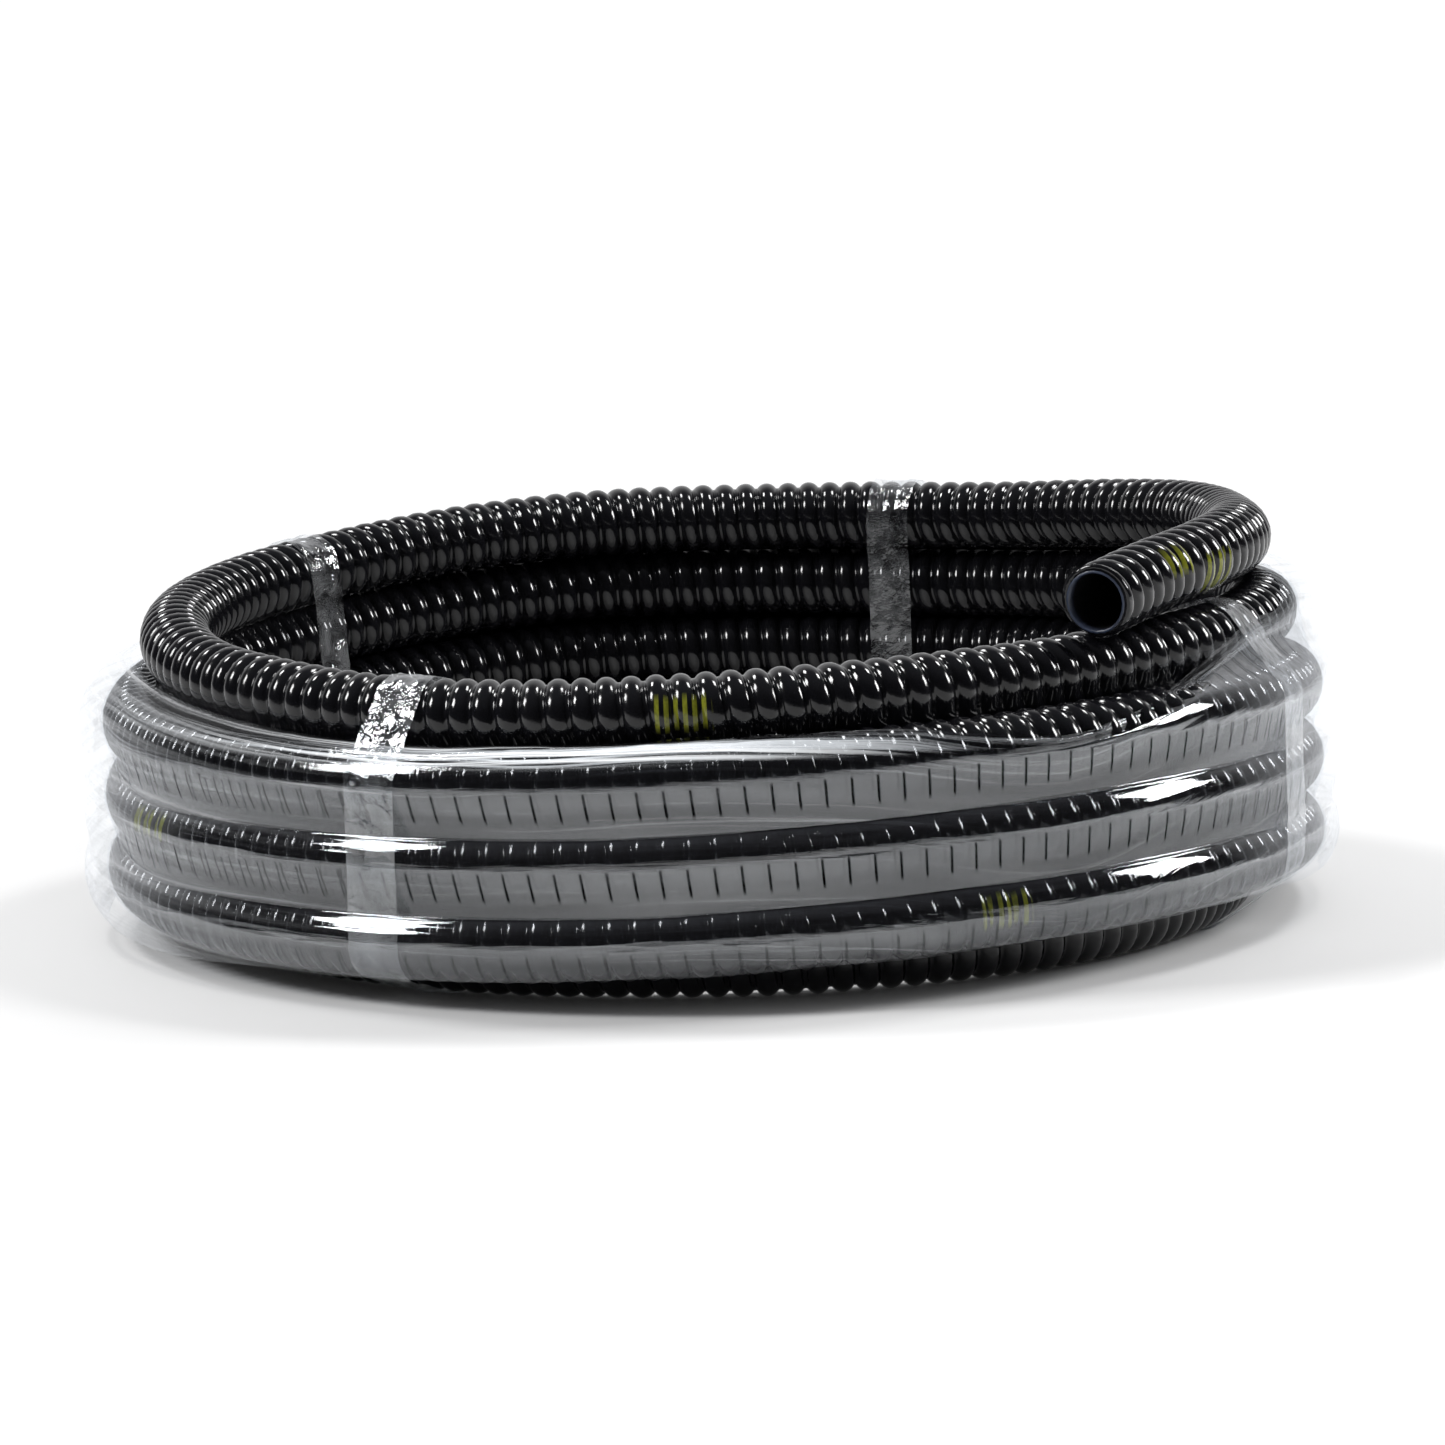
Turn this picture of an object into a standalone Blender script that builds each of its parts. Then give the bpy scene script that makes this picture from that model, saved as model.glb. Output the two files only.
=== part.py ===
"""Vacuum hose for pools and spas: a ribbed black hose coiled in five loops and tied for storage.

Metres, +Z up. The origin is on the floor, at the middle of the coil, and the coil's axis is +Z.
The hose is one long tube. It is modelled loop by loop, with a hollow piece at each cut end.
Going along the hose, the loops run anticlockwise seen from above and wind downwards.
"""

import math

import bmesh
import bpy
from mathutils import Vector

# --- Driving dimensions -------------------------------------------------------------------------

BORE_RADIUS = 0.016
WALL_THICKNESS = 0.0018
RIB_HEIGHT = 0.0029
GAP = 0.0003
RIB_PITCH = 0.0134
RIB_WIDTH = 0.0072

WALL_RADIUS = BORE_RADIUS + WALL_THICKNESS
RIB_BASE_RADIUS = WALL_RADIUS + GAP
HOSE_RADIUS = RIB_BASE_RADIUS + RIB_HEIGHT

COIL_RADIUS = 0.333
LOOP_SPACING = 2 * HOSE_RADIUS + 0.0004
TOP_HEIGHT = 0.2100
COIL_TILT = 0.0110
COIL_TWIST = 0.0045
# Where the stack rises or sags besides: degrees round the coil, half-width in degrees, height.
COIL_SWELLS = [(106.0, 27.0, 0.0062), (56.0, 18.0, -0.0015), (215.0, 28.0, 0.0018)]
FLOOR_SETTLING = 0.0012

HOSE_LENGTH = 10.67
END_PIECE_LENGTH = 0.120

FILM_THICKNESS = 0.0004
FILM_CLEARANCE = 0.0008
FILM_SAMPLES = 72
FILM_SLACK = 0.0014
TAPE_WIDTH = 0.025
TAPE_THICKNESS = 0.0004
TAPE_CLEARANCE = 0.0007
TAPE_OVER_FILM = 0.0008
TAPE_DIRECTIONS = 24

# The bottom loop lies on the tapes, whose lowest flat touches the floor at z = 0.
TAPE_FLAT = math.cos(math.pi / TAPE_DIRECTIONS)
BOTTOM_LOOP_HEIGHT = (HOSE_RADIUS + TAPE_CLEARANCE + TAPE_THICKNESS) * TAPE_FLAT

# The slack top loop: how far round it is (in turns), its radius, and its lift above the winding.
TOP_LOOP_STATIONS = [
    (0.000, 0.3050, 0.0005),
    (0.080, 0.3180, 0.0040),
    (0.180, 0.3220, 0.0015),
    (0.270, 0.3220, -0.0008),
    (0.350, 0.3210, -0.0006),
    (0.500, 0.3100, 0.0030),
    (0.590, 0.3070, -0.0040),
    (0.670, 0.3060, -0.0086),
    (0.750, 0.3060, -0.0090),
    (0.860, 0.2970, -0.0120),
    (0.930, 0.3070, -0.0080),
    (1.000, 0.3200, 0.0000),
    (1.160, COIL_RADIUS, 0.0000),
]

# The free end leaves the top loop and runs nearly straight, out over the loop below it.
FREE_END_ROUTE = [
    (0.2090, -0.2400, 0.2020),
    (0.2405, -0.1830, 0.2070),
    (0.2710, -0.1270, 0.2100),
    (0.2930, -0.0720, 0.2115),
    (0.3030, -0.0300, 0.2112),
]

SAMPLES_PER_TURN = 36
TAPE_ANGLES = {"front_left": 238.5, "right": 336.5, "back_right": 68.0, "back_left": 142.0}


# --- The route of the hose ----------------------------------------------------------------------

def smooth_step(value):
    """Ease from 0 to 1 with level ends."""
    value = min(max(value, 0.0), 1.0)
    return value * value * (3.0 - 2.0 * value)


def winding_height(turns):
    """Height of the winding: a steady fall of one hose a turn, on a tilted and twisted coil."""
    angle = 2 * math.pi * turns
    fall = LOOP_SPACING * turns
    degrees = 360 * turns % 360
    swell = sum(high * math.exp(-((degrees - at) / wide) ** 2) for at, wide, high in COIL_SWELLS)
    return TOP_HEIGHT - fall + swell - COIL_TILT * (1 - math.cos(angle)) - COIL_TWIST * math.sin(2 * angle)


def top_loop_values(turns):
    """Radius and lift of the slack top loop, eased from station to station."""
    stations = TOP_LOOP_STATIONS
    for (start, radius_a, lift_a), (end, radius_b, lift_b) in zip(stations, stations[1:]):
        if turns <= end:
            blend = smooth_step((turns - start) / (end - start))
            return radius_a + blend * (radius_b - radius_a), lift_a + blend * (lift_b - lift_a)
    return COIL_RADIUS, 0.0


def section_centre(turns):
    """Radius and height of the hose's centre after a number of turns."""
    radius, lift = top_loop_values(turns)
    height = winding_height(turns) + lift
    if turns <= 3.9:
        return radius, height
    # The last loop settles on the floor and moves inwards, touching the loop above it.
    above_radius, above_height = section_centre(turns - 1)
    drop = (height - BOTTOM_LOOP_HEIGHT) / FLOOR_SETTLING
    if drop < 30:
        height = BOTTOM_LOOP_HEIGHT + FLOOR_SETTLING * math.log1p(math.exp(drop))
    rise = min(above_height - height, LOOP_SPACING)
    return above_radius - math.sqrt(LOOP_SPACING ** 2 - rise ** 2), height


def coil_point(turns):
    """Centre of the hose in space after a number of turns."""
    radius, height = section_centre(turns)
    angle = 2 * math.pi * turns
    return Vector((radius * math.cos(angle), radius * math.sin(angle), height))


def tube_centre(turns):
    """Radius and height of the straight-sided tube's centre, between two of its even samples."""
    sample = math.floor(turns * SAMPLES_PER_TURN + 1e-9)
    share = turns * SAMPLES_PER_TURN - sample
    start = coil_point(sample / SAMPLES_PER_TURN)
    end = coil_point((sample + 1) / SAMPLES_PER_TURN)
    centre = start.lerp(end, share)
    return math.hypot(centre.x, centre.y), centre.z


def smooth_curve(points, steps):
    """Points along a Catmull-Rom curve through the given points, with even steps in each span."""
    ends = [2 * points[0] - points[1]] + list(points) + [2 * points[-1] - points[-2]]
    result = []
    for before, start, end, after in zip(ends, ends[1:], ends[2:], ends[3:]):
        for step in range(steps):
            u = step / steps
            linear = (end - before) * 0.5
            square = before - start * 2.5 + end * 2.0 - after * 0.5
            cube = (start - end) * 1.5 + (after - before) * 0.5
            result.append(start + linear * u + square * u * u + cube * u * u * u)
    return result + [points[-1]]


def path_length(points):
    """Length of a chain of points."""
    return sum((b - a).length for a, b in zip(points, points[1:]))


def coil_points(start, end):
    """Points round the coil from one number of turns to another, at even angles in between.

    Each end has a point a short way inside it, so that the end face is square to the hose.
    """
    collar = 0.5 / 360
    trim = GAP / 2 / (2 * math.pi * COIL_RADIUS)
    first = math.floor((start + collar) * SAMPLES_PER_TURN) + 1
    last = math.ceil((end - collar) * SAMPLES_PER_TURN) - 1
    inner = [index / SAMPLES_PER_TURN for index in range(first, last + 1)]
    turns = [start + trim, start + collar] + inner + [end - collar, end - trim]
    return [coil_point(value) for value in turns]


def free_end_points():
    """Points along the free end, from its cut face to where the top loop starts."""
    route = [Vector(point) for point in FREE_END_ROUTE]
    curve = smooth_curve(route + [coil_point(0.0), coil_point(0.03)], 3)
    before_loop = curve[:-4]
    joint = coil_point(0.0)
    direction = (coil_point(0.002) - joint).normalized()
    return before_loop + [joint - direction * 0.003, joint - direction * GAP / 2]


def total_turns():
    """Turns of hose that use up its whole length."""
    remaining = HOSE_LENGTH - path_length(free_end_points())
    step = 1 / 720
    turns = 0.0
    while remaining > 0:
        remaining -= (coil_point(turns + step) - coil_point(turns)).length
        turns += step
    return turns


# --- Blender helpers ----------------------------------------------------------------------------

def new_collection(name):
    """Add an empty collection to the scene."""
    collection = bpy.data.collections.new(name)
    bpy.context.scene.collection.children.link(collection)
    return collection


def new_material(name, colour, roughness, alpha=1.0):
    """Make a plain plastic material."""
    material = bpy.data.materials.new(name)
    material.use_nodes = True
    shader = material.node_tree.nodes["Principled BSDF"]
    shader.inputs["Base Color"].default_value = (*colour, 1.0)
    shader.inputs["Roughness"].default_value = roughness
    shader.inputs["Metallic"].default_value = 0.0
    shader.inputs["Alpha"].default_value = alpha
    return material


def add_mesh_object(name, mesh, collection, material):
    """Put a mesh into the model as a named sub-part."""
    body = bpy.data.objects.new(name, mesh)
    collection.objects.link(body)
    body.data.materials.clear()
    body.data.materials.append(material)
    body.data.shade_smooth()
    body.data.set_sharp_from_angle(angle=math.radians(40))
    return body


def tube_object(name, points, radius, collection):
    """A solid round tube along a chain of points, as a curve with filled caps."""
    curve = bpy.data.curves.new(name, "CURVE")
    curve.dimensions = "3D"
    curve.bevel_depth = radius
    curve.bevel_resolution = 3
    curve.use_fill_caps = True
    spline = curve.splines.new("POLY")
    spline.points.add(len(points) - 1)
    for spline_point, point in zip(spline.points, points):
        spline_point.co = (*point, 1.0)
    tube = bpy.data.objects.new(name, curve)
    collection.objects.link(tube)
    return tube


def tube_mesh(tube):
    """Turn a tube curve into a closed mesh and remove the curve."""
    graph = bpy.context.evaluated_depsgraph_get()
    mesh = bpy.data.meshes.new_from_object(tube.evaluated_get(graph))
    mesh.name = tube.name
    work = bmesh.new()
    work.from_mesh(mesh)
    bmesh.ops.remove_doubles(work, verts=work.verts, dist=0.00001)
    bmesh.ops.recalc_face_normals(work, faces=work.faces)
    work.to_mesh(mesh)
    work.free()
    bpy.data.objects.remove(tube)
    return mesh


def skin_mesh(name, rings, closed_path, closed_ring):
    """A mesh through rings of points, with a face between each four neighbours.

    Rings and paths that are not closed are capped at their ends.
    """
    work = bmesh.new()
    grid = [[work.verts.new(point) for point in ring] for ring in rings]
    ring_count = len(grid)
    point_count = len(grid[0])
    for i in range(ring_count if closed_path else ring_count - 1):
        this_ring = grid[i]
        next_ring = grid[(i + 1) % ring_count]
        for j in range(point_count if closed_ring else point_count - 1):
            k = (j + 1) % point_count
            work.faces.new((this_ring[j], this_ring[k], next_ring[k], next_ring[j]))
    if closed_ring and not closed_path:
        work.faces.new(grid[0])
        work.faces.new(list(reversed(grid[-1])))
    bmesh.ops.recalc_face_normals(work, faces=work.faces)
    mesh = bpy.data.meshes.new(name)
    work.to_mesh(mesh)
    work.free()
    return mesh


# --- The hose -----------------------------------------------------------------------------------

def build_loop(name, start, end, collection, material):
    """One loop of the hose, as a plain tube of its full outer diameter."""
    loop = tube_object(name, coil_points(start, end), HOSE_RADIUS, collection)
    loop.data.materials.append(material)
    return loop


def build_end_wall(name, points, parts, cutters, material):
    """The hollow wall of a hose end: a tube of the wall's diameter with the bore cut through."""
    wall = add_mesh_object(name, tube_mesh(tube_object(name, points, WALL_RADIUS, parts)), parts, material)
    overshoot = 0.006
    before = points[0] + (points[0] - points[1]).normalized() * overshoot
    after = points[-1] + (points[-1] - points[-2]).normalized() * overshoot
    bore_name = name + "_bore"
    bore_tube = tube_object(bore_name, [before] + points + [after], BORE_RADIUS, cutters)
    bore = add_mesh_object(bore_name, tube_mesh(bore_tube), cutters, material)
    bore.display_type = "WIRE"
    bore.hide_render = True
    cut = wall.modifiers.new("bore", "BOOLEAN")
    cut.operation = "DIFFERENCE"
    cut.solver = "EXACT"
    cut.object = bore
    return wall


def frame_at(points, distance):
    """Centre, sideways and upward directions of a chain of points at a distance along it."""
    for start, end in zip(points, points[1:]):
        span = (end - start).length
        if distance <= span or end is points[-1]:
            forward = (end - start).normalized()
            centre = start + forward * distance
            sideways = forward.cross(Vector((0, 0, 1))).normalized()
            return centre, sideways, sideways.cross(forward)
        distance -= span


def build_end_rib(name, points, margin, collection, material):
    """The rib on a hose end: a low rounded ridge wound right-handed round the wall."""
    steps_per_turn = 16
    length = path_length(points) - 2 * margin
    turn_count = math.floor(length / RIB_PITCH)
    start = margin + (length - turn_count * RIB_PITCH) / 2
    outline = [(-0.50, 0.0), (-0.34, 0.75), (0.0, 1.0), (0.34, 0.75), (0.50, 0.0)]
    base_radius = RIB_BASE_RADIUS / math.cos(math.pi / steps_per_turn)
    rings = []
    for step in range(turn_count * steps_per_turn + 1):
        turn = step / steps_per_turn
        angle = 2 * math.pi * turn
        ring = []
        for along, height in outline:
            distance = start + turn * RIB_PITCH + along * RIB_WIDTH
            centre, sideways, upward = frame_at(points, distance)
            radius = base_radius + height * (HOSE_RADIUS - base_radius)
            ring.append(centre + (sideways * math.sin(angle) + upward * math.cos(angle)) * radius)
        rings.append(ring)
    return add_mesh_object(name, skin_mesh(name, rings, False, True), collection, material)


# --- The film and the tapes ---------------------------------------------------------------------

def outline_point(circles, direction):
    """The furthest point of a set of circles in a direction, as radius and height."""
    across = math.cos(direction)
    up = math.sin(direction)
    reach = [radius * across + height * up + size for radius, height, size in circles]
    radius, height, size = circles[reach.index(max(reach))]
    return radius + size * across, height + size * up


def in_space(angle, radius, height):
    """A point from its angle round the coil, its radius and its height."""
    return Vector((radius * math.cos(angle), radius * math.sin(angle), height))


def film_limits(degrees):
    """Directions between which the film covers the stack at an angle round the coil."""
    beside_free_end = smooth_step((degrees - 270) / 35) * (1 - smooth_step((degrees - 344) / 16))
    under_top_loop = math.exp(-((degrees - 65) / 70) ** 2)
    top = 95 - 73 * beside_free_end - 25 * under_top_loop
    at_back = math.exp(-((degrees - 75) / 45) ** 2)
    bottom = -60 + 58 * at_back
    return math.radians(bottom), math.radians(top)


def film_circles(degrees, size):
    """The loops that the film holds at an angle round the coil, as circles of a given size."""
    turns = degrees / 360
    wrapped = [turns + loop for loop in (1, 2, 3)]
    if degrees <= 60:
        wrapped.append(turns + 4)
    circles = [(*tube_centre(value), size) for value in wrapped]
    if degrees > 300:
        circles.append((*tube_centre(turns), size + FILM_SLACK))
    return circles


def build_film(collection, material):
    """The stretch film: a thin skin round the outside of the middle loops of the stack."""
    inner = HOSE_RADIUS + FILM_CLEARANCE
    outer = inner + FILM_THICKNESS
    # The directions are closest together where the film runs straight down past the loops.
    shares = [((step + 0.5) / 7) ** 1.6 for step in range(7)] + [1.0]
    rings = []
    for sample in range(FILM_SAMPLES):
        degrees = sample * 360 / FILM_SAMPLES
        angle = math.radians(degrees)
        low, high = film_limits(degrees)
        directions = [low * share for share in reversed(shares)] + [high * share for share in shares]
        inside = [outline_point(film_circles(degrees, inner), direction) for direction in directions]
        outside = [outline_point(film_circles(degrees, outer), direction) for direction in directions]
        rings.append([in_space(angle, *point) for point in inside + outside[::-1]])
    return add_mesh_object("film_wrap", skin_mesh("film_wrap", rings, True, True), collection, material)


def tape_circles(degrees, last_turn, layer):
    """Every loop at an angle round the coil, as circles that a tape lies on."""
    bare = HOSE_RADIUS + TAPE_CLEARANCE
    covered = HOSE_RADIUS + FILM_CLEARANCE + FILM_THICKNESS + TAPE_OVER_FILM
    circles = []
    turns = degrees / 360
    while turns < last_turn:
        is_covered = 1.0 <= turns < 4.0
        size = covered if is_covered else bare
        circles.append((*tube_centre(turns), size + layer))
        turns += 1
    return circles


def build_tape(name, degrees, last_turn, collection, material):
    """A clear tape: a thin band that goes right round the section of the coil."""
    half_angle = math.degrees(TAPE_WIDTH / 2 / COIL_RADIUS)
    directions = [2 * math.pi * (k + 0.5) / TAPE_DIRECTIONS for k in range(TAPE_DIRECTIONS)]
    sections = []
    for offset in (-half_angle, 0.0, half_angle):
        angle = math.radians(degrees + offset)
        loops = []
        for layer in (0.0, TAPE_THICKNESS):
            circles = tape_circles(degrees + offset, last_turn, layer)
            loops.append([in_space(angle, *outline_point(circles, value)) for value in directions])
        sections.append(loops)
    inner = [section[0] for section in sections]
    outer = [section[1] for section in sections]
    # Each direction gives one cross-section of the band: across the inside and back outside.
    rings = []
    for index in range(TAPE_DIRECTIONS):
        across = [loop[index] for loop in inner]
        back = [loop[index] for loop in reversed(outer)]
        rings.append(across + back)
    return add_mesh_object(name, skin_mesh(name, rings, True, True), collection, material)


# --- The whole object ---------------------------------------------------------------------------

def main():
    for old in list(bpy.data.objects):
        bpy.data.objects.remove(old)
    parts = new_collection("vacuum_hose")
    cutters = new_collection("cutters")

    last_turn = total_turns()
    end_start = last_turn - END_PIECE_LENGTH / (2 * math.pi * section_centre(last_turn)[0])
    ends = {"hose_free_end": free_end_points(), "hose_inner_end": coil_points(end_start, last_turn)}
    for name, points in ends.items():
        wall_material = new_material(name + "_wall", (0.012, 0.012, 0.013), 0.30)
        rib_material = new_material(name + "_rib", (0.009, 0.009, 0.010), 0.18)
        build_end_wall(name + "_wall", points, parts, cutters, wall_material)
        build_end_rib(name + "_rib", points, 0.006, parts, rib_material)

    bounds = [0.0, 1.0, 2.0, 3.0, 4.0, end_start]
    for number, (start, end) in enumerate(zip(bounds, bounds[1:]), 1):
        name = f"hose_loop_{number}"
        build_loop(name, start, end, parts, new_material(name, (0.010, 0.010, 0.011), 0.22))

    build_film(parts, new_material("film_wrap", (0.80, 0.82, 0.84), 0.12, 0.35))
    for side, degrees in TAPE_ANGLES.items():
        name = "tape_" + side
        build_tape(name, degrees, last_turn, parts, new_material(name, (0.88, 0.89, 0.90), 0.10, 0.5))


main()
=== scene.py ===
"""Pool vacuum hose: a ribbed black hose coiled in five loops, wrapped in stretch film and taped."""

import math

import bpy
import numpy as np
from mathutils import Matrix, Vector


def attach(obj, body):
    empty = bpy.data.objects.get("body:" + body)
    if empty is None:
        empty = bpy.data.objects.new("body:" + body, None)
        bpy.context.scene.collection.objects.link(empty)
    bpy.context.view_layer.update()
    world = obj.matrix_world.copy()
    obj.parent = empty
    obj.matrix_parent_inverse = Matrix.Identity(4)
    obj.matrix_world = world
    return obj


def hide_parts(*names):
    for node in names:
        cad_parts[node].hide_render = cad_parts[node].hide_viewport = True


bl_info = {
    "name": "Pool Vacuum Hose",
    "version": (1, 0, 0),
    "blender": (4, 5, 0),
    "location": "View3D > Sidebar > Pool Hose",
    "description": "Builds a coiled, film-wrapped pool vacuum hose over its measured frame",
    "category": "Object",
}

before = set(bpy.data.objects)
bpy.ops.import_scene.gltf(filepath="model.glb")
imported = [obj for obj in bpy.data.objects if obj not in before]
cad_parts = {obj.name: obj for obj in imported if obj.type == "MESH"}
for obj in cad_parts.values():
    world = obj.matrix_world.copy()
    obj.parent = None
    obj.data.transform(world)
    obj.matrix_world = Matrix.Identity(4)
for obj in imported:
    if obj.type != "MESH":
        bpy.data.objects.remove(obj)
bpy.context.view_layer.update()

# --- The coil's fixed dimensions, in metres, as in the measured model ---

COIL_RADIUS = 0.333
LOOP_SPACING = 0.0424
TOP_HEIGHT = 0.2100
COIL_TILT = 0.0110
COIL_TWIST = 0.0045
# Where the stack rises or sags besides: degrees round the coil, half-width in degrees, height.
COIL_SWELLS = ((106.0, 27.0, 0.0062), (56.0, 18.0, -0.0015), (215.0, 28.0, 0.0018))
FLOOR_SETTLING = 0.0012
BOTTOM_LOOP_HEIGHT = 0.0221 * math.cos(math.pi / 24)
HOSE_LENGTH = 10.67
SMOOTHING = 0.010
LATER_LOOP_STARTS = (1.0, 2.0, 3.0, 4.0)

# The slack top loop: turns, radius and lift above the winding.
TOP_LOOP_STATIONS = np.array([
    (0.000, 0.3050, 0.0005),
    (0.080, 0.3180, 0.0040),
    (0.180, 0.3220, 0.0015),
    (0.270, 0.3220, -0.0008),
    (0.350, 0.3210, -0.0006),
    (0.500, 0.3100, 0.0030),
    (0.590, 0.3070, -0.0040),
    (0.670, 0.3060, -0.0086),
    (0.750, 0.3060, -0.0090),
    (0.860, 0.2970, -0.0120),
    (0.930, 0.3070, -0.0080),
    (1.000, 0.3200, 0.0000),
    (1.160, COIL_RADIUS, 0.0000),
])

FREE_END_ROUTE = np.array([
    (0.2090, -0.2400, 0.2020),
    (0.2405, -0.1830, 0.2070),
    (0.2710, -0.1270, 0.2100),
    (0.2930, -0.0720, 0.2115),
    (0.3030, -0.0300, 0.2112),
])

TAPE_ANGLES = {"front_left": 238.5, "right": 336.5, "back_right": 68.0, "back_left": 142.0}
TAPED_TURNS = 5.13

# Radius over the ribs, of the plain lining inside the skin, and of the film round the coil.
HOSE_RADIUS = 0.021
LINING_RADIUS = 0.0171
FILM_RADIUS = 0.354
# How far the skin may be filled out where loops press together, and by how much they overlap.
PRESS_LIMIT = 0.0240
PRESS_OVERLAP = 0.0003
# Name, bearing, elevation, distance, width, height and power of each studio light.
SOFTBOXES = (
    ("left_softbox", -72, 38, 2.6, 0.62, 0.78, 45),
    ("right_softbox", 94, 27, 2.6, 0.82, 0.72, 54),
    ("left_rear_softbox", -118, 58, 2.8, 0.58, 0.50, 30),
    ("right_rear_softbox", 118, 58, 2.8, 0.58, 0.50, 30),
)


# --- Sizes and colours that a user would change ---

def length_setting(name, description, default):
    return bpy.props.FloatProperty(name=name, description=description, default=default, min=0.0,
                                   subtype="DISTANCE", unit="LENGTH", precision=5)


def colour_setting(name, description, default):
    return bpy.props.FloatVectorProperty(name=name, description=description, default=default,
                                         size=4, min=0.0, max=1.0, subtype="COLOR")


def share_setting(name, description, default):
    return bpy.props.FloatProperty(name=name, description=description, default=default,
                                   min=0.0, max=1.0, subtype="FACTOR")


class HoseSettings(bpy.types.PropertyGroup):
    bore_radius: length_setting("Bore radius", "Inside radius of the hose", 0.0160)
    wall_radius: length_setting("Wall radius", "Outside radius of the wall under its ribs", 0.0174)
    valley_radius: length_setting("Valley radius", "Radius between the ribs", 0.0178)
    rib_height: length_setting("Rib height", "Height of a rib over the valley", 0.0032)
    rib_pitch: length_setting("Rib pitch", "Distance along the hose from rib to rib", 0.0134)
    rib_half_width: length_setting("Rib half-width", "Distance from crest to foot", 0.0059)
    hose_colour: colour_setting("Hose colour", "Colour of the black plastic",
                                (0.0035, 0.0035, 0.0045, 1.0))
    mark_colour: colour_setting("Mark colour", "Colour of the printed dashes",
                                (0.16, 0.17, 0.015, 1.0))
    cut_colour: colour_setting("Cut face colour", "Colour of the sawn end of the wall",
                               (0.016, 0.022, 0.040, 1.0))
    gloss_roughness: share_setting("Hose roughness", "Roughness of the hose's surface", 0.12)


class WrapSettings(bpy.types.PropertyGroup):
    film_clearance: length_setting("Film clearance", "Gap between the ribs and the film", 0.0009)
    film_wrinkle: length_setting("Film wrinkle", "Height of the film's wrinkles", 0.00035)
    tape_width: length_setting("Tape width", "Width of the clear tape", 0.030)
    tape_clearance: length_setting("Tape clearance", "Gap between the ribs and the tape", 0.0011)
    tape_wrinkle: length_setting("Tape wrinkle", "Height of the tape's wrinkles", 0.0013)
    film_tint: colour_setting("Film tint", "Colour of light through the film",
                              (0.95, 0.96, 0.97, 1.0))
    tape_tint: colour_setting("Tape tint", "Colour of light through the tape",
                              (0.91, 0.925, 0.94, 1.0))


class StageSettings(bpy.types.PropertyGroup):
    floor_colour: colour_setting("Floor colour", "Colour of the studio floor",
                                 (0.68, 0.68, 0.68, 1.0))
    camera_distance: length_setting("Camera distance", "Distance from camera to coil", 3.61)


def hose_settings():
    return bpy.context.scene.pool_hose


def wrap_settings():
    return bpy.context.scene.pool_hose_wrap


def stage_settings():
    return bpy.context.scene.pool_hose_stage


# --- The route of the hose ---

def smooth_step(value):
    """Ease from 0 to 1 with level ends: three times the square less twice the cube."""
    value = np.clip(value, 0.0, 1.0)
    return value * value * (3.0 - 2.0 * value)


def winding_height(turns):
    """Height of the winding: a steady fall of one hose a turn, on a tilted and twisted coil."""
    angle = 2 * np.pi * turns
    fall = LOOP_SPACING * turns
    degrees = 360 * turns % 360
    swell = sum(high * np.exp(-((degrees - at) / wide) ** 2) for at, wide, high in COIL_SWELLS)
    lean = COIL_TILT * (1 - np.cos(angle))
    return TOP_HEIGHT - fall + swell - lean - COIL_TWIST * np.sin(2 * angle)


def top_loop_values(turns):
    """Radius and lift of the slack top loop, eased from station to station."""
    stations = TOP_LOOP_STATIONS
    place = np.clip(np.searchsorted(stations[:, 0], turns) - 1, 0, len(stations) - 2)
    start, end = stations[place], stations[place + 1]
    share = smooth_step((turns - start[..., 0]) / (end[..., 0] - start[..., 0]))
    values = start[..., 1:] + share[..., None] * (end - start)[..., 1:]
    return values[..., 0], values[..., 1]


def section_centre(turns):
    """Radius and height of the hose's centre after a number of turns.

    The last loop settles on the floor and moves inwards, staying one hose from the loop above.
    """
    turns = np.asarray(turns, dtype=float)
    radius, lift = top_loop_values(turns)
    height = winding_height(turns) + lift
    low = turns > 3.9
    if low.any():
        above_radius, above_height = section_centre(turns[low] - 1)
        drop = (height[low] - BOTTOM_LOOP_HEIGHT) / FLOOR_SETTLING
        height[low] = BOTTOM_LOOP_HEIGHT + FLOOR_SETTLING * np.logaddexp(0, drop)
        rise = np.minimum(above_height - height[low], LOOP_SPACING)
        radius[low] = above_radius - np.sqrt(LOOP_SPACING ** 2 - rise ** 2)
    return radius, height


def in_space(angle, radius, height):
    """Points from their angle round the coil, their radius and their height."""
    return np.stack(np.broadcast_arrays(radius * np.cos(angle), radius * np.sin(angle), height), -1)


def coil_points(turns):
    radius, height = section_centre(turns)
    return in_space(2 * np.pi * np.asarray(turns), radius, height)


def smooth_curve(points, steps):
    """Points along a Catmull-Rom curve through the given points, with even steps in each span."""
    ends = np.concatenate([2 * points[:1] - points[1:2], points, 2 * points[-1:] - points[-2:-1]])
    before, start, end, after = ends[:-3, None], ends[1:-2, None], ends[2:-1, None], ends[3:, None]
    u = (np.arange(steps) / steps)[None, :, None]
    linear = (end - before) * 0.5
    square = before - start * 2.5 + end * 2.0 - after * 0.5
    cube = (start - end) * 1.5 + (after - before) * 0.5
    return (start + linear * u + square * u * u + cube * u ** 3).reshape(-1, 3)


def distances(points):
    """Distance along a chain of points to each of them."""
    steps = np.linalg.norm(np.diff(points, axis=0), axis=1)
    return np.concatenate([[0.0], np.cumsum(steps)])


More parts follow.
